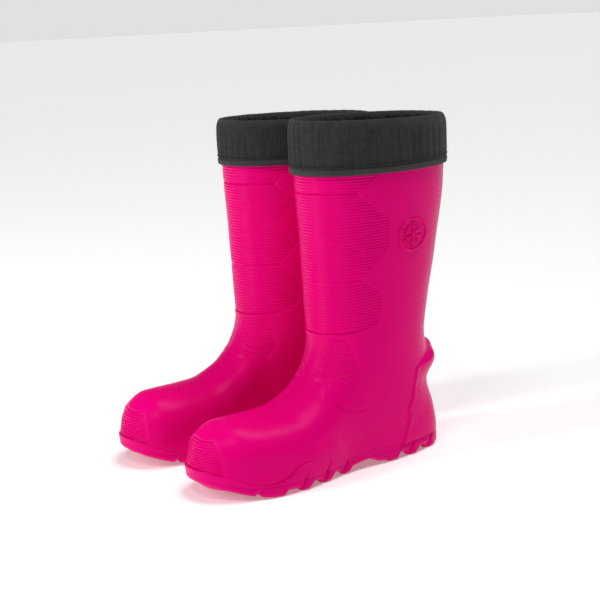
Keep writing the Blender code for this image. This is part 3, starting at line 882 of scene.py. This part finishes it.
bodies = [
    ("upper_leg", leg(), pink, "shells", ["upper"], "moulded_foam"),
    ("upper_foot", foot(), pink, "shells", ["upper"], "moulded_foam"),
    ("heel_counter", heel_counter(), pink, "shells", ["heel_counter"], "moulded_foam"),
    ("outsole", outsole(), sole_pink, "shells", ["outsole"], "sole_foam"),
    ("emblem", emblem(), pink, "shells", ["emblem"], "moulded_foam"),
    ("insole", slab(*INSOLE, 0.06), felt, "shells", ["insole"], "felt"),
    ("liner_sole", slab(*LINER_SOLE, 0.12), felt, "liner", ["liner_sole"], "felt"),
    ("liner_foot", soft_wall(28, LINER_SEAM - 1, LINER_OUT, LINER_THICK, 60, 0.12), felt, "liner",
     ["liner_foot"], "felt"),
    ("liner_leg", soft_wall(LINER_SEAM, LINER_TOP, LINER_OUT, LINER_THICK, 56, 0.12), felt, "liner",
     ["liner_leg"], "felt"),
    ("liner_fleece", soft_wall(LINER_SEAM, LINER_TOP, FLEECE_OUT, FLEECE_THICK, 64, 0.4), fleece, "liner",
     ["liner_fleece"], "fleece"),
    ("pile", curls(), fleece, "liner", [], "fleece"),
    ("cuff", cuff(), knit, "liner", ["cuff"], "rib_knit"),
    ("cuff_hem", hem(), hem_cloth, "liner", ["cuff_hem"], "rib_knit"),
    ("hem_stitching", stitching(), thread, "liner", ["hem_stitching"], "thread"),
]
for side_name, side in SIDES:
    for name, body, mat, rides, nodes_for, slot_name in bodies:
        on = rides if rides == "shells" else side_name + "_liner"
        add(name, body, mat, side_name, side, on, nodes_for)

# ---------------------------------------------------------------- floor, light and camera

white, _, _, white_shader = node_material("pale_floor")
white_shader.inputs["Base Color"].default_value = (0.9, 0.9, 0.9, 1)
white_shader.inputs["Roughness"].default_value = 0.8
white_shader.inputs["Emission Color"].default_value = (1, 1, 1, 1)
white_shader.inputs["Emission Strength"].default_value = FLOOR_GLOW
floor_mesh = bpy.data.meshes.new("floor")
corners = [(x * FLOOR_HALF, y * FLOOR_HALF, -FLOOR_DROP) for x, y in ((-1, -1), (1, -1), (1, 1), (-1, 1))]
floor_mesh.from_pydata(corners, [], [(0, 1, 2, 3)])
floor_mesh.materials.append(white)
floor = bpy.data.objects.new("floor", floor_mesh)
bpy.context.scene.collection.objects.link(floor)

world = bpy.data.worlds.new("studio")
world.use_nodes = True
background = world.node_tree.nodes["Background"]
background.inputs["Color"].default_value = (1, 1, 1, 1)
direction = world.node_tree.nodes.new("ShaderNodeTexCoord").outputs["Generated"]
parts = world.node_tree.nodes.new("ShaderNodeSeparateXYZ")
world.node_tree.links.new(direction, parts.inputs["Vector"])
fade = world.node_tree.nodes.new("ShaderNodeMapRange")
fade.inputs["From Min"].default_value = HORIZON[0]
fade.inputs["From Max"].default_value = HORIZON[1]
fade.inputs["To Min"].default_value = WALL_GLOW
fade.inputs["To Max"].default_value = CEILING_GLOW
world.node_tree.links.new(parts.outputs["Z"], fade.inputs["Value"])
world.node_tree.links.new(fade.outputs["Result"], background.inputs["Strength"])
bpy.context.scene.world = world
bpy.context.scene.view_settings.view_transform = "Standard"


def lamp(name, place, aim, size, power):
    """A soft rectangular lamp turned towards a point."""
    data = bpy.data.lights.new(name, "AREA")
    data.shape = "RECTANGLE"
    data.size, data.size_y = size
    data.energy = power
    obj = bpy.data.objects.new(name, data)
    obj.location = place
    obj.rotation_euler = (Vector(aim) - Vector(place)).to_track_quat("-Z", "Y").to_euler()
    bpy.context.scene.collection.objects.link(obj)


for settings in LAMPS:
    lamp(*settings)
overhead_data = bpy.data.lights.new("overhead", "SUN")
overhead_data.energy = OVERHEAD_STRENGTH
overhead_data.angle = OVERHEAD_SPREAD
overhead = bpy.data.objects.new("overhead", overhead_data)
overhead.rotation_euler = OVERHEAD_TILT
bpy.context.scene.collection.objects.link(overhead)

start = ORIGINS[1]
aim = np.array([start[0], start[1], AIM_HEIGHT])
place = aim + [CAMERA_AWAY * math.sin(CAMERA_TURN), -CAMERA_AWAY * math.cos(CAMERA_TURN), 0]
place[2] = CAMERA_HEIGHT
forward = Vector((aim - place).tolist()).normalized()
right = forward.cross(Vector((0, 0, 1))).normalized()
up = right.cross(forward)
rolled_right = right * math.cos(CAMERA_ROLL) + up * math.sin(CAMERA_ROLL)
rolled_up = up * math.cos(CAMERA_ROLL) - right * math.sin(CAMERA_ROLL)
camera_data = bpy.data.cameras.new("camera")
camera_data.lens = LENS
camera_data.sensor_width = 36
camera_data.shift_x, camera_data.shift_y = LENS_SHIFT
camera_data.clip_start, camera_data.clip_end = 0.05, 50
camera = bpy.data.objects.new("camera", camera_data)
columns = Matrix((rolled_right, rolled_up, -forward)).transposed().to_4x4()
camera.matrix_world = Matrix.Translation(Vector((place * MM).tolist())) @ columns
bpy.context.scene.collection.objects.link(camera)
bpy.context.scene.camera = camera
